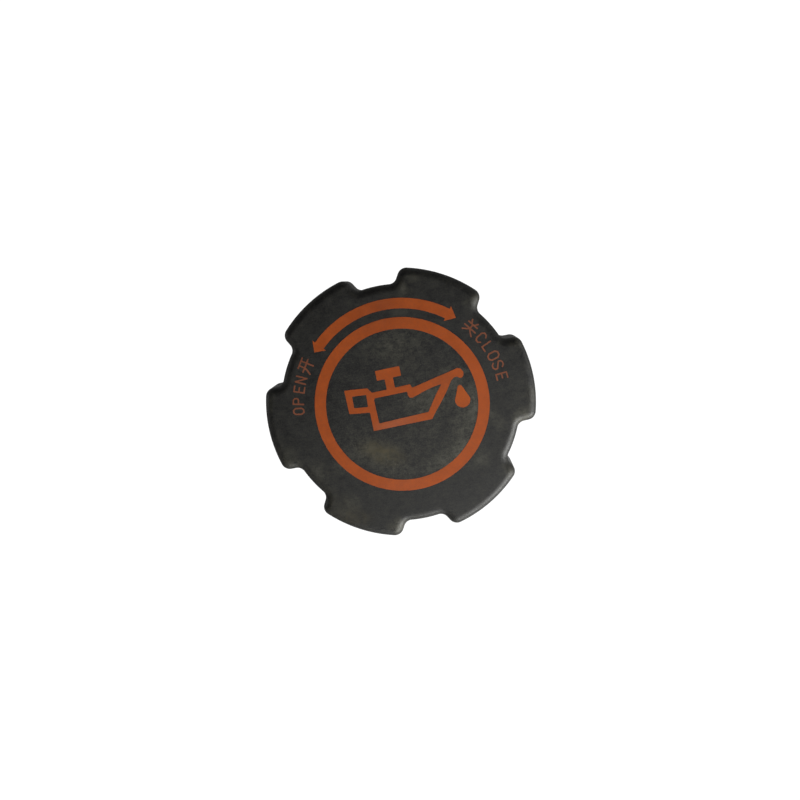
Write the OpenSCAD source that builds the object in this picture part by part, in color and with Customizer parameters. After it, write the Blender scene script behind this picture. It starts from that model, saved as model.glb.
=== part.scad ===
// Oil filler cap for a car engine: a lobed plastic cap with a hollow bayonet
// stub, a flat rubber ring that seals against the filler neck, and the marks
// printed on its top. Millimetres. The origin is on the cap's axis, in the plane
// where the rubber ring meets the neck; +Z points out of the top of the cap and
// +Y points to the top of the printed oil-can symbol. The print sits a little off
// the axis, as it does on such caps.

/* [Head] */
// Diameter over the finger lobes
head_d = 68; // [66:0.5:72]
// Number of finger lobes, with a notch between each two
lobe_n = 6; // [5:1:7]
// Depth of a finger notch
notch_depth = 4; // [3.6:0.1:4.4]
// Width of a finger notch at half its depth
notch_w = 12.5; // [11.5:0.1:13.5]
// Slope of a notch's sides away from its middle line, in degrees
flank_a = 31; // [29:1:34]
// Radius of a lobe's corners, seen from above
tip_r = 2.3; // [2.3:0.1:2.8]
// Radius at the foot of a notch's sides, seen from above
root_r = 2.1; // [1.6:0.1:2.2]
// Radius of the rounded edge around the top
edge_r = 1.8; // [1:0.1:2.2]
// Height of the head, from the rim of the skirt to the top
head_h = 14; // [12:0.5:16]
// Thickness of the top
top_t = 3; // [2.6:0.1:3.4]
// Thickness of the lobed skirt
wall_t = 2.2; // [2:0.1:2.2]

/* [Stub] */
// Outer diameter of the stub where the rubber ring and the lugs sit
stub_d = 36; // [34:0.5:37]
// Outer diameter of the stub's plain end, which guides it into the filler neck
pilot_d = 35.2; // [34.6:0.1:35.4]
// Wall thickness of the stub
stub_wall = 2.4; // [2:0.1:3]
// Length of the stub below the sealing plane
stub_l = 16; // [14:0.5:18]
// Lead-in chamfer at the end of the stub
stub_chamfer = 0.8; // [0.4:0.1:1]

/* [Bayonet] */
// Number of locking lugs
lug_n = 2; // [2:1:3]
// How far a lug stands out of the stub
lug_out = 3; // [2.4:0.1:3.2]
// Height of a lug
lug_h = 3.6; // [3:0.1:4]
// Angle that a lug takes up around the stub
lug_a = 44; // [36:1:50]
// Distance from the sealing plane down to a lug's bearing face
lug_gap = 6; // [5.5:0.1:6.5]
// Slope of the ramp at a lug's leading end, in degrees
lug_ramp = 22; // [15:1:25]
// Height of the stop that ends the turn, above the bearing face
stop_h = 3; // [2:0.1:4]

/* [Sealing ring] */
// Outer diameter of the rubber ring
seal_d = 45; // [43:0.5:46]
// Radial play between the rubber ring and the stub
seal_play = 0.1; // [0.05:0.05:0.3]
// Thickness of the rubber ring
seal_t = 3; // [2.5:0.1:3.5]
// Chamfer on the rubber ring's edges
seal_chamfer = 0.4; // [0.2:0.1:0.6]

/* [Ribs] */
// Number of stiffening ribs under the top
rib_n = 12; // [6:6:12]
// Thickness of a rib
rib_t = 1.6; // [1.2:0.1:2]
// Depth of a rib below the inside of the top
rib_h = 6; // [4:0.5:7]
// Wall thickness of the collar around the rubber ring
collar_t = 1.4; // [1.2:0.1:2]
// Depth of the collar below the inside of the top
collar_h = 2; // [1.5:0.1:2.2]

/* [Print] */
// How far the print sits off the cap's axis, to the right
print_x = 0.4; // [-0.5:0.05:0.5]
// How far the print sits off the cap's axis, upwards
print_y = -0.15; // [-0.5:0.05:0.5]
// Thickness of the printed ink
ink_t = 0.08; // [0.05:0.01:0.15]
// Outer diameter of the printed ring
ring_d = 44; // [43:0.1:44.6]
// Width of the printed ring's line
ring_w = 3; // [2:0.1:3.4]
// Inner radius of the curved arrow's band
arrow_r = 24.1; // [23.9:0.05:24.4]
// Width of the curved arrow's band
arrow_w = 2.65; // [2.2:0.05:2.75]
// Angle that the arrow's band takes up
arrow_a = 80.5; // [70:0.5:84]
// Direction of the arrow's middle
arrow_at = 91.9; // [88:0.1:94]
// Line thickness of the lettering
line_w = 0.4; // [0.3:0.05:0.5]

/* [Hidden] */
$fn = 96;

ro = head_d/2;
ri = ro - notch_depth;
sector = 360/lobe_n;

// heights
z_ceil = seal_t;
z_top = seal_t + top_t;
z_rim = z_top - head_h;
z_end = -stub_l;
z_lug = -lug_gap;
z_step = z_lug - lug_h - 0.4;

// The outline of the head in the frame of one notch, whose middle line is +X.
// A side of the notch is a line through p0 along u; n points into the notch.
p0 = [ro - notch_depth/2, notch_w/2];
u = [cos(flank_a), sin(flank_a)];
n = [sin(flank_a), -cos(flank_a)];
// Centre on the line shifted by s*n, at the distance rad from the cap's axis
function on_line(s, rad) =
    let (a = p0 + s*n, au = a*u, k = -au + sqrt(au*au - a*a + rad*rad)) a + k*u;
c_tip = on_line(-tip_r, ro - tip_r);
c_root = on_line(root_r, ri + root_r);
a_tip = atan2(c_tip[1], c_tip[0]);
a_root = atan2(c_root[1], c_root[0]);

// A corner of the outline is [centre radius, centre angle, own radius, sign,
// direction]; sign is 1 where the outline bulges and -1 where it is hollow.
n_floor = 2; n_root = 5; n_tip = 6; n_lobe = 3;
half_notch = concat(
    [for (i = [0:n_floor-1]) [0, 0, ri, 1, a_root*i/n_floor]],
    [for (i = [0:n_root]) [norm(c_root), a_root, root_r, -1,
        a_root + 180 + (flank_a - 90 - a_root)*i/n_root]],
    [for (i = [0:n_tip]) [norm(c_tip), a_tip, tip_r, 1,
        flank_a - 90 + (a_tip + 90 - flank_a)*i/n_tip]],
    [for (i = [1:n_lobe]) [0, 0, ro, 1, a_tip + (sector/2 - a_tip)*i/n_lobe]]);
function mirrored(v) = [v[0], sector - v[1], v[2], v[3], sector - v[4]];
one_sector = concat(half_notch,
    [for (i = [len(half_notch)-2:-1:1]) mirrored(half_notch[i])]);
corners = [for (k = [0:lobe_n-1]) for (v = one_sector)
    [v[0], v[1] + k*sector + sector/2, v[2], v[3], v[4] + k*sector + sector/2]];
// A corner's point when the outline is moved inwards by d
function at(v, d, z) = [
    v[0]*cos(v[1]) + (v[2] - v[3]*d)*cos(v[4]),
    v[0]*sin(v[1]) + (v[2] - v[3]*d)*sin(v[4]), z];

// The shell's rings, as [how far inwards, height], from the top around the rim
// of the skirt to the inside of the top
n_edge = 5;
rings = concat(
    [for (i = [0:n_edge]) let (a = 90*i/n_edge)
        [edge_r*(1 - sin(a)), z_top - edge_r*(1 - cos(a))]],
    [[0, z_rim], [wall_t, z_rim], [wall_t, z_ceil]]);

// The printed symbol's outlines, drawn in round numbers
can_outline = [
    [-13.5, 6.55], [-7.65, 5.95], [-6.7, 4.6], [-2.95, 4.6], [-2.95, 7.15],
    [-4.9, 7.15], [-4.9, 9.75], [1.4, 9.75], [1.4, 7.2], [-0.75, 7.2],
    [-0.75, 4.65], [3.1, 4.75], [3.4, 3.75], [14.7, 6.1], [15.3, 6.3],
    [16.2, 5.95], [16.75, 5], [16.6, 4.1], [16.1, 3.6], [15.5, 3.6],
    [14.8, 4.1], [14.2, 4.05], [13.3, 3.4], [11.65, 1], [10.1, -1],
    [8.35, -3], [6.7, -5.1], [-8.35, -5.1], [-8.35, -0.3], [-13.45, 0.35]];
can_handle_hole = [[-11.75, 4.55], [-8.3, 4.25], [-8.5, 1.3], [-11.85, 1.7]];
can_body_hole = [
    [-6.3, 2.95], [1.85, 2.95], [1.9, 1.9], [2.3, 1.3], [3, 1.2], [4, 1.45],
    [6.1, 2.15], [8.5, 2.75], [10.6, 3.05], [9, 1.1], [7.5, -1], [6.1, -3.05],
    [-6.5, -3.35], [-6.55, 2.6]];
drop_x = 15.1; drop_y = -1.9; drop_r = 1.95;

// Letters as lines through points, in units of their height, upright and
// centred: their width is about half their height
glyph_o = [[[-0.27, -0.3], [-0.27, 0.3], [-0.12, 0.5], [0.12, 0.5],
    [0.27, 0.3], [0.27, -0.3], [0.12, -0.5], [-0.12, -0.5], [-0.27, -0.3]]];
glyph_p = [[[-0.26, -0.5], [-0.26, 0.5], [0.1, 0.5], [0.26, 0.36],
    [0.26, 0.12], [0.1, 0], [-0.26, 0]]];
glyph_e = [[[0.26, 0.5], [-0.26, 0.5], [-0.26, -0.5], [0.26, -0.5]],
    [[-0.26, 0.02], [0.18, 0.02]]];
glyph_n = [[[-0.27, -0.5], [-0.27, 0.5], [0.27, -0.5], [0.27, 0.5]]];
glyph_c = [[[0.27, 0.32], [0.12, 0.5], [-0.12, 0.5], [-0.27, 0.3],
    [-0.27, -0.3], [-0.12, -0.5], [0.12, -0.5], [0.27, -0.32]]];
glyph_l = [[[-0.24, 0.5], [-0.24, -0.5], [0.26, -0.5]]];
glyph_s = [[[0.26, 0.34], [0.12, 0.5], [-0.12, 0.5], [-0.26, 0.36],
    [-0.26, 0.16], [0.26, -0.14], [0.26, -0.36], [0.12, -0.5],
    [-0.12, -0.5], [-0.26, -0.34]]];
glyph_open = [[[-0.4, 0.49], [0.45, 0.49]], [[-0.52, 0.05], [0.5, 0.05]],
    [[-0.17, 0.49], [-0.19, 0.05], [-0.25, -0.15], [-0.47, -0.5]],
    [[0.21, 0.49], [0.21, -0.5]]];
glyph_close = [[[-0.28, 0.5], [-0.13, 0.27]], [[0.27, 0.5], [0.12, 0.27]],
    [[-0.42, 0.24], [0.42, 0.24]], [[-0.52, -0.11], [0.52, -0.11]],
    [[0, 0.24], [0, -0.12], [-0.14, -0.26], [-0.44, -0.48]],
    [[0, -0.12], [0.2, -0.32], [0.48, -0.52]]];
// [glyph, direction from the print's centre, radius of its middle, height,
// width as a share of the glyph's own]
lettering = [
    [glyph_o, 171.7, 26, 2.55, 1.08], [glyph_p, 166.2, 26, 2.6, 1.05],
    [glyph_e, 159.5, 26, 2.55, 1.05], [glyph_n, 154.2, 26, 2.6, 1.05],
    [glyph_open, 145.8, 25.85, 3.3, 1], [glyph_close, 36.6, 25.85, 3.3, 1],
    [glyph_c, 28.5, 25.85, 2.7, 1.03], [glyph_l, 22.6, 25.85, 2.55, 1.05],
    [glyph_o, 16.5, 25.85, 2.7, 1.18], [glyph_s, 10.8, 25.85, 2.65, 1.15],
    [glyph_e, 4.3, 25.9, 2.65, 1]];

// ---------------------------------------------------------------- the plastic cap

// The lobed head: top, rounded edge and skirt, open below
module lobed_shell() {
    m = len(corners);
    k = len(rings);
    points = concat(
        [for (r = rings) for (v = corners) at(v, r[0], r[1])],
        [[0, 0, z_top], [0, 0, z_ceil]]);
    sides = [for (j = [0:k-2]) for (i = [0:m-1]) let (i2 = (i + 1)%m)
        each [[j*m + i, (j+1)*m + i, j*m + i2],
              [j*m + i2, (j+1)*m + i, (j+1)*m + i2]]];
    top = [for (i = [0:m-1]) [m*k, i, (i + 1)%m]];
    inside = [for (i = [0:m-1]) [m*k + 1, (k-1)*m + (i + 1)%m, (k-1)*m + i]];
    // faces run clockwise seen from outside
    polyhedron(points, [for (f = concat(sides, top, inside)) [f[2], f[1], f[0]]],
        convexity = 6);
}

module stub() {
    r = stub_d/2;
    rp = pilot_d/2;
    rotate_extrude() polygon([
        [r - stub_wall, z_end], [rp - stub_chamfer, z_end],
        [rp, z_end + stub_chamfer], [rp, z_step - (r - rp)], [r, z_step],
        [r, z_ceil + 1], [r - stub_wall, z_ceil + 1]]);
}

// One locking lug, from the direction 0 to lug_a: flat on its upper bearing
// face, with a ramp where it first meets the neck and a stop where the turn ends
module lug() {
    r = stub_d/2;
    difference() {
        rotate_extrude(angle = lug_a) polygon([
            [r - 1.2, z_lug - lug_h - 0.3], [r + lug_out, z_lug - lug_h + 1],
            [r + lug_out, z_lug], [r - 1.2, z_lug]]);
        // the ramp runs down to the leading end
        rotate([0, 0, 12]) translate([r, 0, z_lug]) rotate([lug_ramp, 0, 0])
            translate([-4, -12, 0]) cube([12, 16, 6]);
    }
    rotate([0, 0, lug_a - 4]) translate([r - 1, -0.6, z_lug - 1])
        cube([lug_out + 0.6, 2, stop_h + 1]);
}

// The collar that keeps the rubber ring round
module collar() {
    r = seal_d/2 + 0.3;
    rotate_extrude() polygon([
        [r, z_ceil - collar_h], [r + collar_t, z_ceil - collar_h],
        [r + collar_t, z_ceil + 1], [r, z_ceil + 1]]);
}

// Ribs between the collar and the skirt, under each notch and each lobe
module ribs() {
    r = seal_d/2 + 0.3 + collar_t/2;
    for (i = [0:rib_n-1]) {
        a = 360*i/rib_n + sector/2;
        deep = i*lobe_n % rib_n == 0 ? ri : ro;
        rotate([0, 0, a]) translate([r, -rib_t/2, z_ceil - rib_h])
            cube([deep - wall_t/2 - r, rib_t, rib_h + 1]);
    }
}

module cap_body() {
    color([0.19, 0.19, 0.18]) {
        union() {
            lobed_shell();
            stub();
            collar();
            ribs();
            for (i = [0:lug_n-1]) rotate([0, 0, 360*i/lug_n - lug_a/2]) lug();
        }
    }
}

// ---------------------------------------------------------------- the rubber ring

module sealing_ring() {
    r1 = stub_d/2 + seal_play;
    r2 = seal_d/2;
    c = seal_chamfer;
    color([0.08, 0.08, 0.08])
        rotate_extrude() polygon([
            [r1 + c, 0], [r2 - c, 0], [r2, c], [r2, seal_t - c],
            [r2 - c, seal_t], [r1 + c, seal_t], [r1, seal_t - c], [r1, c]]);
}

// ---------------------------------------------------------------- the printed marks

module line(a, b) {
    d = b - a;
    translate(a) rotate([0, 0, atan2(d[1], d[0])])
        translate([-line_w/2, -line_w/2]) square([norm(d) + line_w, line_w]);
}

module glyph(g, size, wide) {
    for (path = g) {
        p = [for (q = path) [q[0]*size*wide, q[1]*size]];
        for (i = [0:len(p)-2]) line(p[i], p[i+1]);
    }
}

module arrow() {
    r = arrow_r + arrow_w/2;
    rotate([0, 0, arrow_at - arrow_a/2]) {
        rotate_extrude(angle = arrow_a)
            translate([arrow_r, 0]) square([arrow_w, ink_t]);
        linear_extrude(ink_t)
            polygon([[r - 2.05, 0.02], [r + 2.05, 0.02], [r + 0.1, -2.35], [r - 0.1, -2.35]]);
    }
    rotate([0, 0, arrow_at + arrow_a/2])
        linear_extrude(ink_t)
            polygon([[r - 2.05, -0.02], [r + 2.05, -0.02], [r + 0.1, 2.2], [r - 0.1, 2.2]]);
}

module drop() {
    linear_extrude(ink_t) {
        translate([drop_x, drop_y]) circle(drop_r);
        polygon([[drop_x - 1.85, drop_y + 0.6], [13.85, 0], [14.25, 1.05],
            [14.6, 1.8], [15, 2.05], [15.45, 1.85], [15.9, 1.1], [16.35, 0],
            [drop_x + 1.85, drop_y + 0.6]]);
    }
}

module printed_marks() {
    color([0.62, 0.3, 0.17]) translate([print_x, print_y, z_top]) {
        rotate_extrude() translate([ring_d/2 - ring_w, 0]) square([ring_w, ink_t]);
        arrow();
        linear_extrude(ink_t) difference() {
            polygon(can_outline);
            polygon(can_handle_hole);
            polygon(can_body_hole);
        }
        drop();
        for (g = lettering) rotate([0, 0, g[1] - 90]) translate([0, g[2], 0])
            linear_extrude(ink_t) glyph(g[0], g[3], g[4]);
    }
}

cap_body();
sealing_ring();
printed_marks();
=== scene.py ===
import math

import bmesh
import bpy
from mathutils import Matrix, Vector, geometry, noise


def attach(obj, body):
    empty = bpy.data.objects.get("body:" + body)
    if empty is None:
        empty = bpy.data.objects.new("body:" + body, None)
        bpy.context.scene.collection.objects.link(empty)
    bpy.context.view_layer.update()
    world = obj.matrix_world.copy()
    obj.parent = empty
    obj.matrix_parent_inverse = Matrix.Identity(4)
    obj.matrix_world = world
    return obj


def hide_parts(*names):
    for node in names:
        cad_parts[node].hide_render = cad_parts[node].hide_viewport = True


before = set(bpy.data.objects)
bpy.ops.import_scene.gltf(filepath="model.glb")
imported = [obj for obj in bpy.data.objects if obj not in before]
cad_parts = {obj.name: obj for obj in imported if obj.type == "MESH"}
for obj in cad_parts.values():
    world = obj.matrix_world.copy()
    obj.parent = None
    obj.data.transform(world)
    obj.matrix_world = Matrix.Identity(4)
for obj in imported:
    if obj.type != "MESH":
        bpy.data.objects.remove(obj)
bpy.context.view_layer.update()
MM = 0.001

# ---------------------------------------------------------------- sizes, in mm
RO, RI = 34.07, 30.07          # over the lobes, over the notch floors
NOTCH_W, FLANK = 12.5, 31.0    # width of a notch at half depth, slope of its sides
TIP_R, ROOT_R = 2.3, 2.1       # corner radii seen from above
EDGE_W, EDGE_H = 2.2, 1.85     # rounded edge around the top: how far in it starts, and how far down it ends
Z_TOP, Z_CEIL, Z_RIM, Z_END = 6.0, 3.0, -8.0, -16.0
WALL = 2.2
STUB_R, STUB_IN, PILOT_R, Z_STEP = 18.0, 15.6, 17.6, -10.0
COLLAR = (22.8, 24.2, 1.0)     # inner and outer radius, lower edge
PRINT_X, PRINT_Y = 0.4, -0.15  # how far the print sits off the axis


def polar(r, a):
    return (r * math.cos(a), r * math.sin(a))


# ---------------------------------------------------------------- the lobed outline
def outline_corners(n_floor=9, n_root=12, n_flank=3, n_tip=16, n_lobe=14):
    """The outline's points as (centre x, centre y, radius, sign, direction): a point moved inwards by d
    is centre + (radius - sign*d) in its direction."""
    b = math.radians(FLANK)
    u, n = (math.cos(b), math.sin(b)), (math.sin(b), -math.cos(b))
    p0 = (RO - (RO - RI) / 2, NOTCH_W / 2)

    def on_line(s, rad):
        ax, ay = p0[0] + s * n[0], p0[1] + s * n[1]
        au = ax * u[0] + ay * u[1]
        k = -au + math.sqrt(au * au - (ax * ax + ay * ay) + rad * rad)
        return ax + k * u[0], ay + k * u[1]

    tip, root = on_line(-TIP_R, RO - TIP_R), on_line(ROOT_R, RI + ROOT_R)
    a_tip, a_root = math.atan2(tip[1], tip[0]), math.atan2(root[1], root[0])
    d_tip, d_root = math.hypot(*tip), math.hypot(*root)
    sector = math.pi / 3
    half = [(0, 0, RI, 1, a_root * i / n_floor) for i in range(n_floor)]
    for i in range(n_root + 1):
        a = a_root + math.pi + (b - math.pi / 2 - a_root) * i / n_root
        half.append((d_root, a_root, ROOT_R, -1, a))
    # points along the straight side, as if each were a corner of its own
    f0 = (root[0] - ROOT_R * n[0], root[1] - ROOT_R * n[1])
    f1 = (tip[0] + TIP_R * n[0], tip[1] + TIP_R * n[1])
    for i in range(1, n_flank):
        t = i / n_flank
        x, y = f0[0] + (f1[0] - f0[0]) * t, f0[1] + (f1[1] - f0[1]) * t
        half.append((math.hypot(x, y), math.atan2(y, x), 0.0, 1, b - math.pi / 2))
    for i in range(n_tip + 1):
        a = b - math.pi / 2 + (a_tip + math.pi / 2 - b) * i / n_tip
        half.append((d_tip, a_tip, TIP_R, 1, a))
    for i in range(1, n_lobe + 1):
        half.append((0, 0, RO, 1, a_tip + (sector / 2 - a_tip) * i / n_lobe))
    one = half + [(c, sector - ca, r, s, sector - a) for c, ca, r, s, a in half[-2:0:-1]]
    out = []
    for k in range(6):
        turn = k * sector + sector / 2
        for c, ca, r, s, a in one:
            out.append((c * math.cos(ca + turn), c * math.sin(ca + turn), r, s, a + turn))
    return out


CORNERS = outline_corners()
N = len(CORNERS)


def lobed(d, z):
    return [(x + (r - s * d) * math.cos(a), y + (r - s * d) * math.sin(a), z) for x, y, r, s, a in CORNERS]


POLAR = [math.atan2(p[1], p[0]) for p in lobed(0.9, 0)]


def circle(r, z):
    return [(r * math.cos(a), r * math.sin(a), z) for a in POLAR]


def arc(cx, cz, r, a0, a1, steps):
    """Points (x, z) of an arc in a profile, from a0 to a1 degrees, both ends included."""
    return [
        (cx + r * math.cos(math.radians(a0 + (a1 - a0) * i / steps)), cz + r * math.sin(math.radians(a0 + (a1 - a0) * i / steps)))
        for i in range(steps + 1)
    ]


# ---------------------------------------------------------------- mesh helpers
def new_object(name, verts, faces, smooth_angle=None):
    me = bpy.data.meshes.new(name)
    me.from_pydata([(x * MM, y * MM, z * MM) for x, y, z in verts], [], faces)
    me.validate()
    me.update()
    o = bpy.data.objects.new(name, me)
    bpy.context.scene.collection.objects.link(o)
    if smooth_angle is not None:
        smooth(o, smooth_angle)
    return o


def smooth(o, angle):
    me = o.data
    me.polygons.foreach_set("use_smooth", [True] * len(me.polygons))
    me.set_sharp_from_angle(angle=math.radians(angle))
    me.update()


def closed_rings(rings, first=None, last=None):
    """Joins closed rings of equal length into one surface; first and last are end points that close it."""
    n = len(rings[0])
    verts, faces = [], []
    for ring in rings:
        verts += ring
    for j in range(len(rings) - 1):
        for i in range(n):
            i2 = (i + 1) % n
            faces.append((j * n + i, (j + 1) * n + i, (j + 1) * n + i2, j * n + i2))
    if first is not None:
        k = len(verts)
        verts.append(first)
        faces += [(k, i, (i + 1) % n) for i in range(n)]
    if last is not None:
        k = len(verts)
        b = (len(rings) - 1) * n
        verts.append(last)
        faces += [(k, b + (i + 1) % n, b + i) for i in range(n)]
    return verts, faces


def revolved(name, profile, steps, a0=0.0, a1=360.0, smooth_angle=None):
    """A closed profile of (r, z) points, turned about the axis: the whole way, or from a0 to a1 degrees with end caps."""
    full = abs(a1 - a0) >= 360
    m = len(profile)
    turns = steps if full else steps + 1
    verts = []
    for i in range(turns):
        a = math.radians(a0 + (a1 - a0) * i / steps)
        verts += [(r * math.cos(a), r * math.sin(a), z) for r, z in profile]
    faces = []
    for i in range(steps):
        i2 = (i + 1) % turns
        for j in range(m):
            j2 = (j + 1) % m
            faces.append((i * m + j, i2 * m + j, i2 * m + j2, i * m + j2))
    if not full:
        faces.append(tuple(range(m)))
        faces.append(tuple((turns - 1) * m + j for j in reversed(range(m))))
    o = new_object(name, verts, faces)
    outwards(o)
    if smooth_angle is not None:
        smooth(o, smooth_angle)
    return o


def outwards(o):
    bm = bmesh.new()
    bm.from_mesh(o.data)
    bmesh.ops.recalc_face_normals(bm, faces=bm.faces)
    if bm.calc_volume(signed=True) < 0:
        bmesh.ops.reverse_faces(bm, faces=bm.faces)
    bm.to_mesh(o.data)
    bm.free()
    o.data.update()


def rounded_box(name, size, at=(0, 0, 0), turn=0.0, r=0.3, draft=0.0):
    """A box from (0, -w/2, 0) to (l, w/2, h) with rounded edges, thinner by draft on each side at z = 0."""
    length, width, height = size
    bm = bmesh.new()
    bmesh.ops.create_cube(bm, size=1.0)
    for v in bm.verts:
        low = v.co.z < 0
        w = width - 2 * draft if low else width
        v.co = Vector(((v.co.x + 0.5) * length, v.co.y * w, (v.co.z + 0.5) * height))
    bmesh.ops.bevel(bm, geom=bm.edges[:], offset=r, segments=3, profile=0.5, affect="EDGES")
    me = bpy.data.meshes.new(name)
    rot = Matrix.Rotation(turn, 4, "Z")
    bm.transform(Matrix.Scale(MM, 4) @ rot @ Matrix.Translation(Vector(at)))
    bm.to_mesh(me)
    bm.free()
    o = bpy.data.objects.new(name, me)
    bpy.context.scene.collection.objects.link(o)
    return o


def boolean(o, others, operation):
    """o united with, or cut by, the other objects, which are removed."""
    for other in others:
        mod = o.modifiers.new("join", "BOOLEAN")
        mod.operation = operation
        mod.solver = "MANIFOLD"
        mod.object = other
    bpy.context.view_layer.update()
    done = bpy.data.meshes.new_from_object(o.evaluated_get(bpy.context.evaluated_depsgraph_get()))
    o.modifiers.clear()
    old = o.data
    o.data = done
    done.name = o.name
    bpy.data.meshes.remove(old)
    for other in others:
        me = other.data
        bpy.data.objects.remove(other)
        bpy.data.meshes.remove(me)


# ---------------------------------------------------------------- the plastic cap
def make_cap():
    rings = [circle(r, Z_TOP) for r in (5, 12, 19, 27)]
    for x, z in arc(0, 0, 1, 90, 0, 12):  # the rounded top edge
        rings.append(lobed(EDGE_W * (1 - x), Z_TOP - EDGE_H * (1 - z)))
    rings += [lobed(0, 0.6), lobed(0, -3.6)]
    for x, z in arc(0, 0, 1, 0, -90, 5):  # the rim of the skirt
        rings.append(lobed(0.6 * (1 - x), Z_RIM + 0.6 * (1 + z)))
    for x, z in arc(0, 0, 1, -90, -180, 4):
        rings.append(lobed(WALL - 0.5 * (1 + x), Z_RIM + 0.5 * (1 + z)))
    rings += [lobed(WALL, -2.5), lobed(WALL, Z_CEIL)]
    c0, c1, cz = COLLAR
    rings += [circle(r, z) for r, z in arc(c1 + 0.5, Z_CEIL - 0.5, 0.5, 90, 180, 4)]
    rings += [circle(r, z) for r, z in arc(c1 - 0.35, cz + 0.35, 0.35, 0, -90, 4)]
    rings += [circle(r, z) for r, z in arc(c0 + 0.35, cz + 0.35, 0.35, -90, -180, 4)]
    rings += [circle(c0, Z_CEIL), circle(STUB_R, Z_CEIL), circle(STUB_R, -4.0), circle(STUB_R, Z_STEP), circle(PILOT_R, Z_STEP - (STUB_R - PILOT_R)), circle(PILOT_R, -13.0)]
    # the end of the stub: lead-in chamfer, rounded rim, then up the inside
    rings += [circle(r, z) for r, z in [(PILOT_R, Z_END + 1.0), (PILOT_R - 0.1, Z_END + 0.7), (PILOT_R - 0.65, Z_END + 0.12), (PILOT_R - 0.9, Z_END)]]
    rings += [circle(r, z) for r, z in arc(STUB_IN + 0.4, Z_END + 0.4, 0.4, -90, -180, 4)]
    rings += [circle(STUB_IN, -9.0), circle(STUB_IN - 0.1, -1.0)]
    rings += [circle(r, z) for r, z in arc(STUB_IN - 1.1, Z_CEIL - 1.0, 1.0, 0, 90, 6)]
    rings += [circle(6.0, Z_CEIL)]
    verts, faces = closed_rings(rings, (0, 0, Z_TOP), (0, 0, Z_CEIL))
    cap = new_object("cap_body_moulding", verts, faces)
    outwards(cap)

    add = []
    for i in range(12):  # ribs under each lobe and each notch
        reach = (RO if i % 2 else RI) - WALL / 2
        r0 = (c0 + c1) / 2
        add.append(rounded_box(f"rib{i}", (reach - r0, 1.6, 7.0), at=(r0, 0, Z_CEIL - 6.0), turn=math.radians(30 * i + 30), r=0.3, draft=0.15))
    for k in (0, 180):
        add += make_lug(k - 22.0)
    boolean(cap, add, "UNION")
    # shallow round marks of the ejector pins, on the ceiling between the ribs
    pins = []
    for i in range(6):
        a = math.radians(60 * i + 15)
        x, y = polar(27.6, a)
        bm = bmesh.new()
        bmesh.ops.create_cone(bm, cap_ends=True, segments=32, radius1=1.3, radius2=1.3, depth=0.5)
        bmesh.ops.translate(bm, verts=bm.verts, vec=(x, y, Z_CEIL - 0.25 + 0.12))
        bm.transform(Matrix.Scale(MM, 4))
        me = bpy.data.meshes.new(f"pin{i}")
        bm.to_mesh(me)
        bm.free()
        o = bpy.data.objects.new(f"pin{i}", me)
        bpy.context.scene.collection.objects.link(o)
        pins.append(o)
    boolean(cap, pins, "DIFFERENCE")
    smooth(cap, 28)
    return cap


def make_lug(start):
    """A locking lug from the direction start, 44 degrees long, with the ramp at its leading end and the stop at the other."""
    z1, z0, out = -6.0, -9.6, 3.0
    r0 = STUB_R - 1.2
    steps = 44
    verts, faces = [], []
    for i in range(steps + 1):
        a = math.radians(start + i)
        # the bearing face drops towards the leading end
        lead = max(0.0, 12.0 - i)
        drop = STUB_R * math.radians(lead) * math.tan(math.radians(22))
        tz = z1 - drop
        # the ends are rounded off, seen from above
        end = min(i, steps - i)
        ro = STUB_R + out - (0.9 * (1 - end / 3.0) ** 2 if end < 3 else 0.0)
        prof = [(r0, z0 - 0.3), (STUB_R + 0.5, z0 + 0.15), (ro - 0.35, z0 + 0.85), (ro - 0.08, z0 + 1.1), (ro, z0 + 1.4)]
        top = max(tz, z0 + 1.75)
        prof += [(ro, top - 0.3), (ro - 0.1, top - 0.08), (ro - 0.35, top), (r0, top)]
        verts += [(r * math.cos(a), r * math.sin(a), z) for r, z in prof]
    m = 9
    for i in range(steps):
        for j in range(m):
            j2 = (j + 1) % m
            faces.append((i * m + j, (i + 1) * m + j, (i + 1) * m + j2, i * m + j2))
    faces.append(tuple(range(m)))
    faces.append(tuple(steps * m + j for j in reversed(range(m))))
    lug = new_object(f"lug{start:.0f}", verts, faces)
    outwards(lug)
    stop = rounded_box(f"stop{start:.0f}", (3.6, 2.0, 4.0), at=(STUB_R - 1, 0.4, -7.0), turn=math.radians(start + 40), r=0.3)
    return [lug, stop]


# ---------------------------------------------------------------- the rubber ring
def make_seal():
    r0, r1, z1 = STUB_R + 0.1, 22.5, 3.0
    c = 0.45
    prof = arc(r1 - c, c, c, -90, 0, 5)
    # a fine flash line around the outside, from the mould
    prof += [(r1, 1.42), (r1 + 0.05, 1.5), (r1, 1.58)]
    prof += arc(r1 - c, z1 - c, c, 0, 90, 5) + arc(r0 + c, z1 - c, c, 90, 180, 5) + arc(r0 + c, c, c, 180, 270, 5)
    return revolved("sealing_ring_rubber", prof, 240, smooth_angle=40)


# ---------------------------------------------------------------- the printed marks
def inside(p, loops):
    x, y = p
    odd = False
    for loop in loops:
        j = len(loop) - 1
        for i in range(len(loop)):
            (xi, yi), (xj, yj) = loop[i], loop[j]
            if (yi > y) != (yj > y) and x < (xj - xi) * (y - yi) / (yj - yi) + xi:
                odd = not odd
            j = i
    return odd


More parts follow.
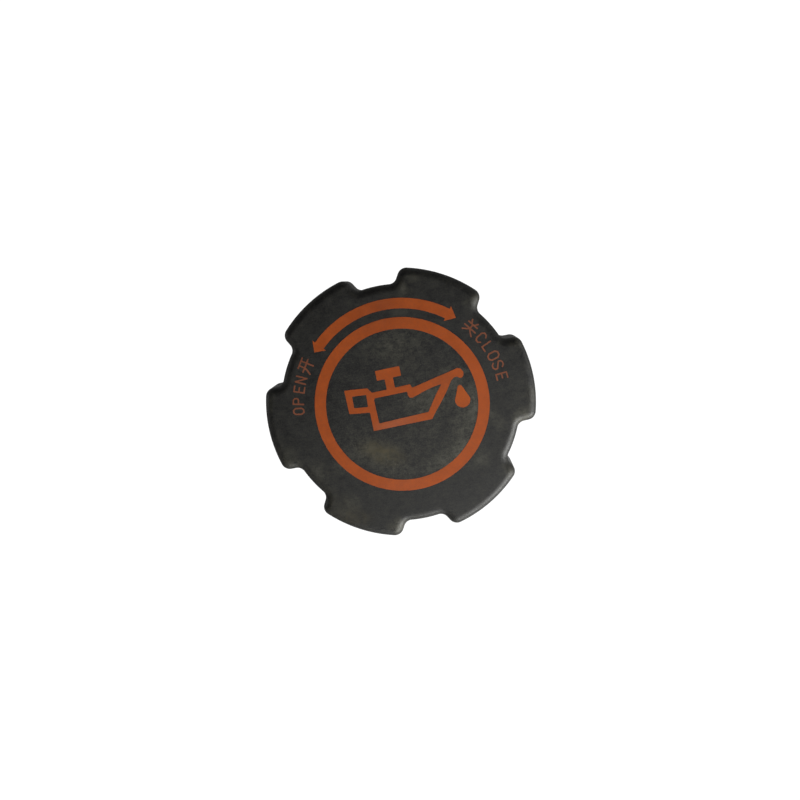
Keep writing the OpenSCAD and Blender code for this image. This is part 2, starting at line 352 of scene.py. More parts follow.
def rounded_loop(points, r):
    """The loop with each corner rounded to the radius r, or less on short sides."""
    out = []
    n = len(points)
    for i in range(n):
        p0, p1, p2 = Vector(points[i - 1]), Vector(points[i]), Vector(points[(i + 1) % n])
        a, b = (p0 - p1), (p2 - p1)
        la, lb = a.length, b.length
        a.normalize()
        b.normalize()
        half = math.acos(max(-1, min(1, a.dot(b)))) / 2
        cut = min(r / max(math.tan(half), 1e-3), 0.45 * la, 0.45 * lb)
        q0, q2 = p1 + a * cut, p1 + b * cut
        for k in range(5):
            t = k / 4
            out.append(tuple(q0 * (1 - t) ** 2 + p1 * 2 * t * (1 - t) + q2 * t * t))
    return out


def resampled(loop, step):
    out = []
    n = len(loop)
    for i in range(n):
        a, b = Vector(loop[i]), Vector(loop[(i + 1) % n])
        k = max(1, int((b - a).length / step))
        out += [tuple(a.lerp(b, j / k)) for j in range(k)]
    return out


def ragged(loop, amount, scale=2.3):
    """The loop with its points moved a little along its normal, as the edge of printed ink."""
    out = []
    n = len(loop)
    for i in range(n):
        a, b, c = Vector(loop[i - 1]), Vector(loop[i]), Vector(loop[(i + 1) % n])
        t = c - a
        if t.length < 1e-9:
            out.append(loop[i])
            continue
        nrm = Vector((t.y, -t.x)).normalized()
        w = noise.noise(Vector((b.x * scale, b.y * scale, 3.1))) + 0.5 * noise.noise(Vector((b.x * scale * 3, b.y * scale * 3, 7.7)))
        out.append(tuple(b + nrm * w * amount))
    return out


INK_LOW, INK_HIGH = -0.01, 0.03


def plate(name, groups, step=0.3, rough=0.03):
    """A thin closed layer on the top: groups is a list of loops lists, each an outline with its holes."""
    verts, faces = [], []
    for loops in groups:
        loops = [ragged(resampled(loop, step), rough) for loop in loops]
        pts, edges = [], []
        for loop in loops:
            k = len(pts)
            pts += [Vector(p) for p in loop]
            edges += [(k + i, k + (i + 1) % len(loop)) for i in range(len(loop))]
        vs, es, fs, *_ = geometry.delaunay_2d_cdt(pts, edges, [], 0, 1e-6)
        keep = []
        for f in fs:
            c = sum((vs[i] for i in f), Vector((0, 0))) / len(f)
            if inside((c.x, c.y), loops):
                keep.append(tuple(f))
        k = len(verts)
        n = len(vs)
        at = [(v.x + PRINT_X, v.y + PRINT_Y) for v in vs]
        verts += [(x, y, Z_TOP + INK_HIGH) for x, y in at]
        verts += [(x, y, Z_TOP + INK_LOW) for x, y in at]
        count = {}
        for f in keep:
            area = sum(vs[f[i]].x * vs[f[(i + 1) % 3]].y - vs[f[(i + 1) % 3]].x * vs[f[i]].y for i in range(3))
            if area < 0:
                f = f[::-1]
            faces.append(tuple(k + i for i in f))
            faces.append(tuple(k + n + i for i in reversed(f)))
            for i in range(3):
                e = (f[i], f[(i + 1) % 3])
                count[e] = count.get(e, 0) + 1
        for a, b in count:
            if (b, a) not in count:
                faces.append((k + a, k + n + a, k + n + b, k + b))
    o = new_object(name, verts, faces)
    bm = bmesh.new()
    bm.from_mesh(o.data)
    loose = [v for v in bm.verts if not v.link_faces]
    bmesh.ops.delete(bm, geom=loose, context="VERTS")
    bm.to_mesh(o.data)
    bm.free()
    o.data.update()
    return o


def ring_loop(r, n=240):
    return [polar(r, 2 * math.pi * i / n) for i in range(n)]


def arrow_loop():
    r0, r1, mid = 24.07, 26.67, 25.39
    centre, half = math.radians(91.9), math.radians(40.25)
    n = 60
    outer = [polar(r1, centre - half + 2 * half * i / n) for i in range(n + 1)]
    inner = [polar(r0, centre + half - 2 * half * i / n) for i in range(n + 1)]

    def head(a, ahead):
        t = Vector((-math.sin(a), math.cos(a))) * ahead
        r = Vector((math.cos(a), math.sin(a)))
        out_, tip, in_ = r * (mid + 2.05), r * mid + t, r * (mid - 2.05)
        return [tuple(out_), tuple(tip), tuple(in_)]

    left = head(centre + half, 2.15)
    right = head(centre - half, -2.35)
    return outer + left + inner + right[::-1]


CAN = [
    (-13.5, 6.55), (-7.65, 5.95), (-6.7, 4.6), (-2.95, 4.6), (-2.95, 7.15), (-4.9, 7.15), (-4.9, 9.75),
    (1.4, 9.75), (1.4, 7.2), (-0.75, 7.2), (-0.75, 4.65), (3.1, 4.75), (3.4, 3.75), (14.7, 6.1), (15.3, 6.3),
    (16.2, 5.95), (16.75, 5), (16.6, 4.1), (16.1, 3.6), (15.5, 3.6), (14.8, 4.1), (14.2, 4.05), (13.3, 3.4),
    (11.65, 1), (10.1, -1), (8.35, -3), (6.7, -5.1), (-8.35, -5.1), (-8.35, -0.3), (-13.45, 0.35),
]
CAN_HANDLE = [(-11.75, 4.55), (-8.3, 4.25), (-8.5, 1.3), (-11.85, 1.7)]
CAN_BODY = [
    (-6.3, 2.95), (1.85, 2.95), (1.9, 1.9), (2.3, 1.3), (3, 1.2), (4, 1.45), (6.1, 2.15), (8.5, 2.75),
    (10.6, 3.05), (9, 1.1), (7.5, -1), (6.1, -3.05), (-6.5, -3.35), (-6.55, 2.6),
]


def inset(loop, d):
    """Moves each side of a clockwise loop inward by d."""
    out = []
    for i, b in enumerate(loop):
        u = (Vector(b) - Vector(loop[i - 1])).normalized()
        v = (Vector(loop[(i + 1) % len(loop)]) - Vector(b)).normalized()
        p, q = Vector((u.y, -u.x)), Vector((v.y, -v.x))
        m = (p + q) / (1 + p.dot(q)) * d
        out.append((b[0] + m.x, b[1] + m.y))
    return out


def drop_loop():
    x, y, r = 15.1, -1.9, 1.95
    pts = [(x + r * math.cos(math.radians(a)), y + r * math.sin(math.radians(a))) for a in range(-197, 18, 8)]
    return pts + [(16.35, 0), (15.9, 1.1), (15.45, 1.85), (15, 2.05), (14.6, 1.8), (14.25, 1.05), (13.85, 0)]


GLYPHS = {
    "O": [[(-0.27, -0.3), (-0.27, 0.3), (-0.12, 0.5), (0.12, 0.5), (0.27, 0.3), (0.27, -0.3), (0.12, -0.5), (-0.12, -0.5), (-0.27, -0.3)]],
    "P": [[(-0.26, -0.5), (-0.26, 0.5), (0.1, 0.5), (0.26, 0.36), (0.26, 0.12), (0.1, 0), (-0.26, 0)]],
    "E": [[(0.26, 0.5), (-0.26, 0.5), (-0.26, -0.5), (0.26, -0.5)], [(-0.26, 0.02), (0.18, 0.02)]],
    "N": [[(-0.27, -0.5), (-0.27, 0.5), (0.27, -0.5), (0.27, 0.5)]],
    "C": [[(0.27, 0.32), (0.12, 0.5), (-0.12, 0.5), (-0.27, 0.3), (-0.27, -0.3), (-0.12, -0.5), (0.12, -0.5), (0.27, -0.32)]],
    "L": [[(-0.24, 0.5), (-0.24, -0.5), (0.26, -0.5)]],
    "S": [[(0.26, 0.34), (0.12, 0.5), (-0.12, 0.5), (-0.26, 0.36), (-0.26, 0.16), (0.26, -0.14), (0.26, -0.36), (0.12, -0.5), (-0.12, -0.5), (-0.26, -0.34)]],
    "open": [[(-0.4, 0.49), (0.45, 0.49)], [(-0.52, 0.05), (0.5, 0.05)],
             [(-0.17, 0.49), (-0.19, 0.05), (-0.25, -0.15), (-0.47, -0.5)], [(0.21, 0.49), (0.21, -0.5)]],
    "close": [[(-0.28, 0.5), (-0.13, 0.27)], [(0.27, 0.5), (0.12, 0.27)], [(-0.42, 0.24), (0.42, 0.24)], [(-0.52, -0.11), (0.52, -0.11)],
              [(0, 0.24), (0, -0.12), (-0.14, -0.26), (-0.44, -0.48)], [(0, -0.12), (0.2, -0.32), (0.48, -0.52)]],
}
# glyph, direction, radius of its middle, height, width as a share of the glyph's own
LETTERING = [
    ("O", 171.7, 26, 2.55, 1.08), ("P", 166.2, 26, 2.6, 1.05), ("E", 159.5, 26, 2.55, 1.05), ("N", 154.2, 26, 2.6, 1.05),
    ("open", 145.8, 25.85, 3.3, 1), ("close", 36.6, 25.85, 3.3, 1), ("C", 28.5, 25.85, 2.7, 1.03), ("L", 22.6, 25.85, 2.55, 1.05),
    ("O", 16.5, 25.85, 2.7, 1.18), ("S", 10.8, 25.85, 2.65, 1.15), ("E", 4.3, 25.9, 2.65, 1),
]
LINE_W = 0.38


def stroke_mesh(name):
    """The lettering, as thin strokes of one width with round ends."""
    parts = []
    for glyph, deg, r, size, wide in LETTERING:
        a = math.radians(deg)
        up, right = Vector((math.cos(a), math.sin(a))), Vector((math.sin(a), -math.cos(a)))
        base = up * r
        for path in GLYPHS[glyph]:
            for p, q in zip(path, path[1:]):
                parts.append([tuple(base + right * x * size * wide + up * y * size) for x, y in (p, q)])
    bm = bmesh.new()
    for n, (p, q) in enumerate(parts):
        p, q = Vector(p), Vector(q)
        d = (q - p).normalized()
        nrm = Vector((-d.y, d.x))
        w = LINE_W / 2 * (1 + 0.12 * noise.noise(Vector((p.x, p.y, 0.5))))
        ring = [p + nrm * w * math.cos(t) - d * w * math.sin(t) for t in [math.pi * k / 6 for k in range(7)]]
        ring += [q - nrm * w * math.cos(t) + d * w * math.sin(t) for t in [math.pi * k / 6 for k in range(7)]]
        # each stroke is a hair higher than the last, so that no two faces lie in one plane
        high = Z_TOP + 0.022 + 0.0006 * (n % 8)
        low = Z_TOP + INK_LOW
        top = [bm.verts.new((v.x + PRINT_X, v.y + PRINT_Y, high)) for v in ring]
        bot = [bm.verts.new((v.x + PRINT_X, v.y + PRINT_Y, low)) for v in ring]
        bm.faces.new(top)
        bm.faces.new(bot[::-1])
        k = len(ring)
        for i in range(k):
            bm.faces.new((top[i], bot[i], bot[(i + 1) % k], top[(i + 1) % k]))
    bmesh.ops.recalc_face_normals(bm, faces=bm.faces)
    bm.transform(Matrix.Scale(MM, 4))
    me = bpy.data.meshes.new(name)
    bm.to_mesh(me)
    bm.free()
    o = bpy.data.objects.new(name, me)
    bpy.context.scene.collection.objects.link(o)
    return o


# ---------------------------------------------------------------- materials
class Nodes:
    """A short way to write a node tree."""

    def __init__(self, name):
        self.m = bpy.data.materials.new(name)
        self.m.use_nodes = True
        self.t = self.m.node_tree
        self.t.nodes.clear()
        self.out = self.t.nodes.new("ShaderNodeOutputMaterial")

    def new(self, kind, **values):
        n = self.t.nodes.new(kind)
        for k, v in values.items():
            setattr(n, k, v)
        return n

    def link(self, a, b):
        self.t.links.new(a, b)

    def value(self, socket, v):
        if hasattr(v, "is_output") or isinstance(v, bpy.types.NodeSocket):
            self.link(v, socket)
        else:
            socket.default_value = v

    def math(self, op, a, b=0.0, c=0.0, clamp=False):
        n = self.new("ShaderNodeMath", operation=op, use_clamp=clamp)
        for s, v in zip(n.inputs, (a, b, c)):
            self.value(s, v)
        return n.outputs[0]

    def noise(self, vec, scale, detail=2.0, rough=0.5, dist=0.0):
        n = self.new("ShaderNodeTexNoise")
        n.inputs["Scale"].default_value = scale
        n.inputs["Detail"].default_value = detail
        n.inputs["Roughness"].default_value = rough
        n.inputs["Distortion"].default_value = dist
        self.link(vec, n.inputs["Vector"])
        return n.outputs["Fac"]

    def ramp(self, fac, lo, hi, a=0.0, b=1.0, smooth=True):
        n = self.new("ShaderNodeMapRange", interpolation_type="SMOOTHSTEP" if smooth else "LINEAR")
        self.value(n.inputs["Value"], fac)
        for k, v in (("From Min", lo), ("From Max", hi), ("To Min", a), ("To Max", b)):
            n.inputs[k].default_value = v
        return n.outputs["Result"]

    def mix(self, fac, a, b, blend="MIX"):
        n = self.new("ShaderNodeMix", data_type="RGBA", blend_type=blend)
        self.value(n.inputs[0], fac)
        self.value(n.inputs[6], a)
        self.value(n.inputs[7], b)
        return n.outputs[2]

    def mm(self):
        """Object coordinates in millimetres."""
        tc = self.new("ShaderNodeTexCoord")
        mp = self.new("ShaderNodeMapping")
        mp.inputs["Scale"].default_value = (1000, 1000, 1000)
        self.link(tc.outputs["Object"], mp.inputs["Vector"])
        return mp.outputs[0]

    def xyz(self, vec):
        s = self.new("ShaderNodeSeparateXYZ")
        self.link(vec, s.inputs[0])
        return s.outputs

    def length(self, vec):
        n = self.new("ShaderNodeVectorMath", operation="LENGTH")
        self.link(vec, n.inputs[0])
        return n.outputs["Value"]

    def blob(self, vec, at, size, turn=0.0):
        """1 at the place at = (x, y) on the top, falling smoothly to 0 over an ellipse of the given radii."""
        mp = self.new("ShaderNodeMapping", vector_type="TEXTURE")
        mp.inputs["Location"].default_value = (at[0], at[1], Z_TOP)
        mp.inputs["Rotation"].default_value = (0, 0, math.radians(turn))
        mp.inputs["Scale"].default_value = (size[0], size[1], 2.0)
        self.link(vec, mp.inputs["Vector"])
        return self.ramp(self.length(mp.outputs[0]), 1.0, 0.0)

    def total(self, terms):
        """The sum of value * share over (value, share) pairs."""
        out = None
        for value, share in terms:
            out = self.math("MULTIPLY", value, share) if out is None else self.math("MULTIPLY_ADD", value, share, out)
        return out


BASE, PATCH, MID, FINE, STREAK = 0.0146, 0.036, 0.043, 0.088, 0.042
# lighter fields inside the ring, most towards the lower right: part dust, part painted light on the side the main
# light falls from; place, radii, turn, how light
DUST_AND_LIGHT_INSIDE = [
    ((16, -6), (13, 6), 70, 0.026),
    ((13, -14), (10, 5.5), 42, 0.026),
    ((5, -17.5), (9, 4), 12, 0.018),
    ((2, 15), (12, 6), 5, 0.020),
    ((12, 1), (7, 5), 10, 0.024),
    ((7, 0), (6, 4), 15, 0.016),
    ((-10, -10), (11, 6.5), -45, 0.022),
    ((2, -10), (11, 6), 10, 0.012),
    ((3, 8), (9, 6), 0, 0.010),
    ((11, -16.5), (5.5, 4.5), 35, 0.024),
    ((9, -3), (4.5, 3.5), 20, 0.022),
    ((-3.5, -15.5), (5.5, 4), -15, 0.022),
    ((13.5, 5), (4, 4.5), 0, 0.018),
    ((4.5, -3), (4, 3), 10, 0.014),
    ((13, -16.5), (6, 4), 45, 0.028),
    ((7, -15.5), (4.5, 3), 10, 0.018),
    ((18.3, -3), (2.2, 6), -5, 0.030),
    ((16.5, 5), (3, 3.5), 0, 0.020),
    ((4, 0), (10, 5.5), 10, 0.014),
]
# lighter spots outside the ring, some pale dust and some painted highlights: place, radii, turn, how light
DUST_AND_HIGHLIGHTS_OUTSIDE = [
    ((-21, -22), (8, 6), -45, 0.010),
    ((31, -5), (5, 6), 0, 0.007),
    ((6.8, 26.5), (3.5, 7), 0, 0.016),
    ((-24, -12), (4, 4), 0, 0.014),
    ((-31, -6.5), (4, 4), 0, 0.016),
    ((4, 23), (4, 2.5), 0, 0.010),
    ((9.4, 30.2), (2.8, 1.5), -12, 0.020),
    ((17, -17.5), (5, 3.5), 45, 0.022),
    ((7, 28), (1.5, 3), 12, 0.024),
    # the first two: painted highlights near the corners of lobes, where the rounded edge is lit; then more lighter
    # spots
    ((29.2, -9.8), (3.8, 3.5), 0, 0.060),
    ((-6, -30.8), (5, 3.4), -12, 0.050),
    ((33, -4), (2.5, 4), 0, 0.022),
    ((23.5, 21), (4, 3), 0, 0.022),
    ((-23, -14.5), (4.5, 4.5), 0, 0.010),
    ((-18, -12.5), (3.5, 3), -30, 0.018),
    ((-29.8, -9.4), (3.5, 3.5), 0, 0.014),
    ((-17, -22), (4, 3), -40, 0.022),
    ((24, -22), (4, 3.5), 40, 0.020),
    ((31.5, 9.5), (3, 3.5), 0, 0.018),
    ((-32, 7.5), (2.5, 4), 0, 0.012),
    ((22.5, -8), (2.2, 7), 20, 0.020),
]
# darker fields, part oil film, part painted shade on the side away from the main light: place, radii, turn, how
# strong
OIL_AND_SHADE = [
    ((-19, 6), (8, 11), 0, 1.1),
    ((-12, 14), (6, 6), 0, 0.5),
    ((-16.5, 9.5), (4, 5), 0, 0.6),
    ((-5, 8), (5, 5), 0, 0.4),
    ((6, -26.5), (11, 4), 14, 0.8),
    ((13, 23), (6, 5), 0, 0.6),
]
SMUDGE = [
    ((-7, -11), (8.2, 4), -30, 0.80),
    ((-17, -26), (6, 3.6), -15, 0.32),
    ((-21, -22), (9, 5), -45, 0.10),
    ((-28.5, -12.5), (3.5, 3.5), 0, 0.10),
]


def plastic():
    n = Nodes("moulded_plastic")
    p = n.mm()
    sh = n.new("ShaderNodeBsdfPrincipled")
    n.link(sh.outputs[0], n.out.inputs[0])
    sh.inputs["IOR"].default_value = 1.5
    sh.inputs["Specular IOR Level"].default_value = 0.63
    # how light the black is: unevenness in four sizes, from clouds to fine grain
    cloud = n.noise(p, 0.11, 3, 0.55)
    patch = n.noise(p, 0.45, 3, 0.6, 0.5)
    mid = n.noise(p, 1.1, 2, 0.6, 0.3)
    fine = n.noise(p, 3.0, 2, 0.65)
    # pale dust and painted light sit in the grain, most of them inside the printed ring
    mp = n.new("ShaderNodeMapping", vector_type="TEXTURE")
    mp.inputs["Location"].default_value = (PRINT_X, PRINT_Y, Z_TOP)
    mp.inputs["Scale"].default_value = (1, 1, 4)
    n.link(p, mp.inputs["Vector"])
    in_ring = n.ramp(n.length(mp.outputs[0]), 20.2, 18.8)
    # faint wiping marks, drawn out along one direction
    wiped = n.new("ShaderNodeMapping", vector_type="POINT")
    wiped.inputs["Rotation"].default_value = (0, 0, math.radians(-25))
    wiped.inputs["Scale"].default_value = (0.45, 2.4, 1)
    n.link(p, wiped.inputs["Vector"])
    streak = n.noise(wiped.outputs[0], 1.0, 3, 0.65, 0.6)
    grain = n.total([(n.math("SUBTRACT", patch, 0.5), PATCH), (n.math("SUBTRACT", mid, 0.5), MID), (n.math("SUBTRACT", fine, 0.5), FINE), (n.math("SUBTRACT", streak, 0.5), STREAK)])
    grain = n.math("MULTIPLY", grain, n.ramp(in_ring, 0, 1, 0.6, 1.0, smooth=False))
    level = n.total([(n.math("SUBTRACT", cloud, 0.5), 0.010), (grain, 1.0)])
    level = n.math("ADD", level, BASE)
    # lighter fields of dust and painted light, broken up by the grain
    broken = n.ramp(n.math("ADD", patch, n.math("MULTIPLY", mid, 0.8)), 0.55, 1.25, 0.35, 1.65)
    dust_and_light = n.total([(n.blob(p, at, size, turn), share) for at, size, turn, share in DUST_AND_LIGHT_INSIDE])
    dust_and_light = n.math("MULTIPLY", dust_and_light, in_ring)
    # small pale specks, thickest in the lighter fields
    specks = n.ramp(n.noise(p, 2.0, 3, 0.7), 0.60, 0.70)
    specks = n.math("MULTIPLY", specks, n.math("MULTIPLY_ADD", dust_and_light, 2.4, 0.014))
    dust_and_light = n.math("ADD", n.math("MULTIPLY", dust_and_light, broken), specks)
    # painted highlights near lobe corners, with pale spots, outside the ring
    outer = n.total([(n.blob(p, at, size, turn), share) for at, size, turn, share in DUST_AND_HIGHLIGHTS_OUTSIDE])
    level = n.math("ADD", n.math("ADD", level, dust_and_light), n.math("MULTIPLY", outer, broken))
    # darker and smoother fields: part oil film, part painted shade, the largest on the left away from the main light
    oil_and_shade = n.total([(n.blob(p, at, size, turn), share) for at, size, turn, share in OIL_AND_SHADE])
    level = n.math("MAXIMUM", n.math("MULTIPLY_ADD", oil_and_shade, -0.004, level), 0.002)
    # the darkest black is neutral, the lighter parts, dust and painted light alike, slightly warm
    hue = n.mix(n.ramp(level, 0.006, 0.028), (0.1, 0.099, 0.096, 1), (0.1, 0.0965, 0.0740, 1))
    c = n.mix(n.math("MULTIPLY", level, 10.0, clamp=True), (0, 0, 0, 1), hue)
    # thin yellow-brown oil smudges
    brown = n.total([(n.blob(p, at, size, turn), share) for at, size, turn, share in SMUDGE])
    brown = n.math("MULTIPLY", brown, n.ramp(n.noise(p, 0.5, 4, 0.6, 0.8), 0.36, 0.66, 0.45, 1.2), clamp=True)
    c = n.mix(brown, c, (0.086, 0.070, 0.032, 1))
    n.link(c, sh.inputs["Base Color"])
    # roughness: matt, a little shinier where hands rub it
    rough = n.math("ADD", n.ramp(patch, 0.35, 0.7, 0.40, 0.52), n.ramp(fine, 0.3, 0.7, -0.03, 0.05))
    n.link(n.math("MULTIPLY_ADD", oil_and_shade, -0.06, rough), sh.inputs["Roughness"])
    # fine moulded grain over a slight unevenness
    b1 = n.new("ShaderNodeBump")
    b1.inputs["Strength"].default_value = 0.35
    b1.inputs["Distance"].default_value = 0.00004
    n.link(n.noise(p, 5.5, 3, 0.65), b1.inputs["Height"])
    b2 = n.new("ShaderNodeBump")
    b2.inputs["Strength"].default_value = 0.5
    b2.inputs["Distance"].default_value = 0.0001
    n.link(n.noise(p, 0.16, 2, 0.5), b2.inputs["Height"])
    n.link(b2.outputs[0], b1.inputs["Normal"])
    n.link(b1.outputs[0], sh.inputs["Normal"])
    return n.m


def ink(name, colour, shade, specks):
    n = Nodes(name)
    p = n.mm()
    sh = n.new("ShaderNodeBsdfPrincipled")
    n.link(sh.outputs[0], n.out.inputs[0])
    sh.inputs["IOR"].default_value = 1.45
    sh.inputs["Specular IOR Level"].default_value = 0.62
    cloud = n.noise(p, 0.35, 4, 0.6)
    speck = n.noise(p, 3.2, 3, 0.6)
    worn = n.noise(p, 1.3, 3, 0.65, 0.4)
    c = n.mix(n.ramp(cloud, 0.36, 0.66), colour, shade)
    c = n.mix(n.ramp(worn, 0.35, 0.65, 0.16, 0.0), c, (0.20, 0.055, 0.02, 1))
    # painted shade and light on the print: darker at its top, lighter and stronger orange at its right and on the
    # drop, where the main light falls; greyer with dust on the can and at the foot of the ring, and one darker spot
    # on the can
    c = n.mix(n.math("MULTIPLY", n.blob(p, (-1, 23), (13, 8)), 0.22), c, (0.16, 0.035, 0.01, 1))
    c = n.mix(n.math("MULTIPLY", n.blob(p, (1, 25.5), (4.5, 3)), 0.22), c, (0.16, 0.035, 0.01, 1))
    c = n.mix(n.math("MULTIPLY", n.blob(p, (20.5, 1.5), (6, 14)), 0.5), c, (0.52, 0.090, 0.006, 1))
    c = n.mix(n.math("MULTIPLY", n.blob(p, (-2.5, -4.5), (10, 3), 3), 0.10), c, (0.36, 0.32, 0.28, 1))
    c = n.mix(n.math("MULTIPLY", n.blob(p, (-4, -20.2), (10, 4)), 0.025), c, (0.36, 0.32, 0.28, 1))
    c = n.mix(n.math("MULTIPLY", n.blob(p, (11.5, 3.5), (4, 3)), 0.16), c, (0.16, 0.06, 0.03, 1))
    c = n.mix(n.math("MULTIPLY", n.blob(p, (15.7, -0.8), (4, 4)), 0.45), c, (0.58, 0.115, 0.003, 1))
    # small spots where the black shows through
    c = n.mix(n.ramp(speck, 0.60, 0.76, 0, specks), c, (0.06, 0.03, 0.02, 1))
    n.link(c, sh.inputs["Base Color"])
    n.link(n.ramp(cloud, 0.3, 0.7, 0.42, 0.55), sh.inputs["Roughness"])
    b = n.new("ShaderNodeBump")
    b.inputs["Strength"].default_value = 0.25
    b.inputs["Distance"].default_value = 0.00003
    n.link(n.noise(p, 4.5, 3, 0.6), b.inputs["Height"])
    n.link(b.outputs[0], sh.inputs["Normal"])
    return n.m


def rubber():
    n = Nodes("seal_rubber")
    p = n.mm()
    sh = n.new("ShaderNodeBsdfPrincipled")
    n.link(sh.outputs[0], n.out.inputs[0])
    cloud = n.noise(p, 0.4, 3, 0.6)
    dust = n.noise(p, 2.2, 3, 0.6)
    c = n.mix(n.ramp(cloud, 0.35, 0.65), (0.011, 0.011, 0.011, 1), (0.020, 0.020, 0.019, 1))
    c = n.mix(n.ramp(dust, 0.6, 0.8, 0, 0.4), c, (0.05, 0.048, 0.044, 1))
    n.link(c, sh.inputs["Base Color"])
    n.link(n.ramp(cloud, 0.3, 0.7, 0.5, 0.66), sh.inputs["Roughness"])
    b = n.new("ShaderNodeBump")
    b.inputs["Strength"].default_value = 0.3
    b.inputs["Distance"].default_value = 0.00005
    n.link(n.noise(p, 3.0, 3, 0.6), b.inputs["Height"])
    n.link(b.outputs[0], sh.inputs["Normal"])
    return n.m


def give(o, m):
    o.data.materials.clear()
    o.data.materials.append(m)


# ---------------------------------------------------------------- build
black = plastic()
orange = ink("orange_ink", (0.445, 0.0765, 0.002, 1), (0.495, 0.0865, 0.003, 1), 0.35)
thin_orange = ink("orange_ink_thin", (0.225, 0.070, 0.032, 1), (0.260, 0.082, 0.038, 1), 0.6)
cap = make_cap()
give(cap, black)
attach(cap, "root")
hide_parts("cap_body")

seal = make_seal()
give(seal, rubber())
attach(seal, "root")
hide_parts("sealing_ring")

marks = [
    (plate("print_ring", [[ring_loop(21.92), ring_loop(19.08)]]), orange),
    (plate("print_arrow", [[arrow_loop()]]), orange),
    (plate("print_oil_can", [[rounded_loop(inset(CAN, 0.06), 0.25), rounded_loop(inset(CAN_HANDLE, -0.06), 0.2), rounded_loop(inset(CAN_BODY, -0.07), 0.2)], [inset(drop_loop(), -0.05)]]), orange),
    (stroke_mesh("print_lettering"), thin_orange),
]
for o, m in marks:
    give(o, m)
    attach(o, "root")
    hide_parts("printed_marks")

# ---------------------------------------------------------------- stage, light and camera
scene = bpy.context.scene
scene.view_settings.view_transform = "Standard"
scene.view_settings.look = "None"
scene.view_settings.exposure = 0.0
scene.view_settings.gamma = 1.0


def floor():
    s = 1.5
    me = bpy.data.meshes.new("floor")
    z = Z_END * MM
    me.from_pydata([(-s, -s, z), (s, -s, z), (s, s, z), (-s, s, z)], [], [(0, 1, 2, 3)])
    o = bpy.data.objects.new("floor", me)
    scene.collection.objects.link(o)
    n = Nodes("floor_paper")
    # white paper that shows pure white, and throws little light back at the cap
    glow = n.new("ShaderNodeEmission")
    glow.inputs["Color"].default_value = (1, 1, 1, 1)
    glow.inputs["Strength"].default_value = 1.1
    # what the cap's edges mirror: the paper close around it glows, a painted pool of light brightest towards the main
    # light
    dim = n.new("ShaderNodeBsdfDiffuse")
    dim.inputs["Color"].default_value = (0.12, 0.12, 0.12, 1)
    p = n.mm()
    x, y, _ = n.xyz(p)
    r = n.length(p)
    a = math.radians(-70)
    side = n.math("DIVIDE", n.math("ADD", n.math("MULTIPLY", x, math.cos(a)), n.math("MULTIPLY", y, math.sin(a))), r)
    side = n.math("POWER", n.math("MAXIMUM", side, 0.0), 2.0)
    near = n.ramp(r, 200, 130)
    painted_glow = n.new("ShaderNodeEmission")
    painted_glow.inputs["Color"].default_value = (1, 1, 0.97, 1)
    n.link(n.math("MULTIPLY", n.math("MULTIPLY_ADD", side, 0.50, 0.20), near), painted_glow.inputs["Strength"])
    both = n.new("ShaderNodeAddShader")
    n.link(dim.outputs[0], both.inputs[0])
    n.link(painted_glow.outputs[0], both.inputs[1])
    path = n.new("ShaderNodeLightPath")
    mix = n.new("ShaderNodeMixShader")
    n.link(path.outputs["Is Camera Ray"], mix.inputs[0])
    n.link(both.outputs[0], mix.inputs[1])
    n.link(glow.outputs[0], mix.inputs[2])
    n.link(mix.outputs[0], n.out.inputs[0])
    me.materials.append(n.m)


floor()

world = bpy.data.worlds.new("studio")
scene.world = world
world.use_nodes = True
wt = world.node_tree
wt.nodes.clear()
w_out = wt.nodes.new("ShaderNodeOutputWorld")
w_mix = wt.nodes.new("ShaderNodeMixShader")
w_path = wt.nodes.new("ShaderNodeLightPath")
w_dim = wt.nodes.new("ShaderNodeBackground")
w_dim.inputs["Color"].default_value = (1, 1, 1, 1)
w_dim.inputs["Strength"].default_value = 0.06
w_white = wt.nodes.new("ShaderNodeBackground")
w_white.inputs["Color"].default_value = (1, 1, 1, 1)
w_white.inputs["Strength"].default_value = 1.0
wt.links.new(w_path.outputs["Is Camera Ray"], w_mix.inputs[0])
wt.links.new(w_dim.outputs[0], w_mix.inputs[1])
wt.links.new(w_white.outputs[0], w_mix.inputs[2])
wt.links.new(w_mix.outputs[0], w_out.inputs[0])


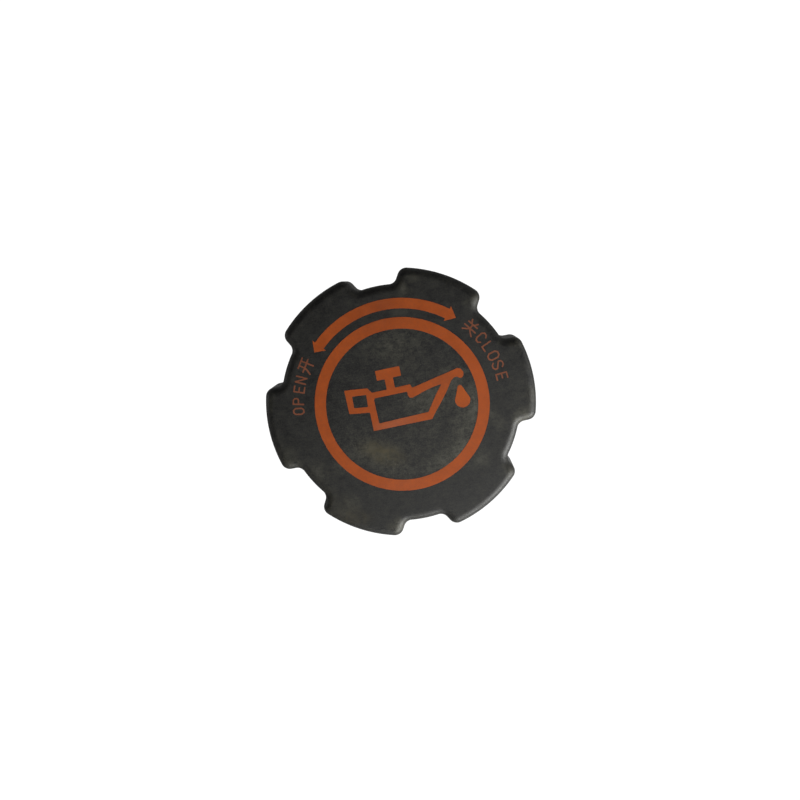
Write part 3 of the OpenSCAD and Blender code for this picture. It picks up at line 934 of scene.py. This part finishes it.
def area(name, azimuth, elevation, distance, size, power, colour=(1, 1, 1)):
    """A square soft light that looks at the cap. azimuth is in degrees from +X, seen from above."""
    data = bpy.data.lights.new(name, "AREA")
    data.shape = "DISK"
    data.size = size
    data.energy = power
    data.color = colour
    o = bpy.data.objects.new(name, data)
    a, e = math.radians(azimuth), math.radians(elevation)
    at = Vector((math.cos(a) * math.cos(e), math.sin(a) * math.cos(e), math.sin(e))) * distance
    o.location = at
    o.rotation_euler = (-at).to_track_quat("-Z", "Y").to_euler()
    scene.collection.objects.link(o)
    return o


# the main light comes low from the lower right of the picture, the rest only lifts the shadows
for name, azimuth, elevation, power in [
    ("key", -57, 30, 0.249),
    ("key_low", -57, 16, 0.235),
    ("key_high", -57, 45, 0.098),
    ("key_right", -34, 30, 0.277),
    ("key_right_low", -34, 18, 0.205),
    ("right_low", -34, 4, 0.182),
    ("right", -1, 4, 0.115),
    ("back_right", 33, 4, 0.035),
    ("front_right", -79, 20, 0.169),
    ("front_right_high", -79, 30, 0.125),
    ("front", -102, 22, 0.115),
    ("over", -79, 75, 0.0455),
    ("over_front", -92, 62, 0.050),
    ("left", 168, 4, 0.068),
    ("left_front", -147, 20, 0.034),
    ("back", 78, 1, 0.022),
    ("back_left", 126, 1, 0.022),
]:
    area(name, azimuth, elevation, 0.35, 0.16, power, (1, 0.998, 0.975))

# the camera: above the cap, leaning 8 degrees, 238 mm from its top
cam_data = bpy.data.cameras.new("camera")
cam = bpy.data.objects.new("camera", cam_data)
scene.collection.objects.link(cam)
right = Vector((0.977227, -0.210480, -0.026947)).normalized()
fwd = Vector((-0.052601, -0.117253, -0.991708)).normalized()
up = right.cross(fwd).normalized()
right = fwd.cross(up).normalized()
m = Matrix((
    (right.x, up.x, -fwd.x, 12.706 * MM),
    (right.y, up.y, -fwd.y, 29.095 * MM),
    (right.z, up.z, -fwd.z, 242.334 * MM),
    (0, 0, 0, 1),
))
cam.matrix_world = m
cam_data.sensor_width = 36.0
cam_data.lens = 36.0 * 952.44 / 800
cam_data.clip_start = 0.01
cam_data.clip_end = 20
scene.camera = cam

bpy.context.view_layer.update()
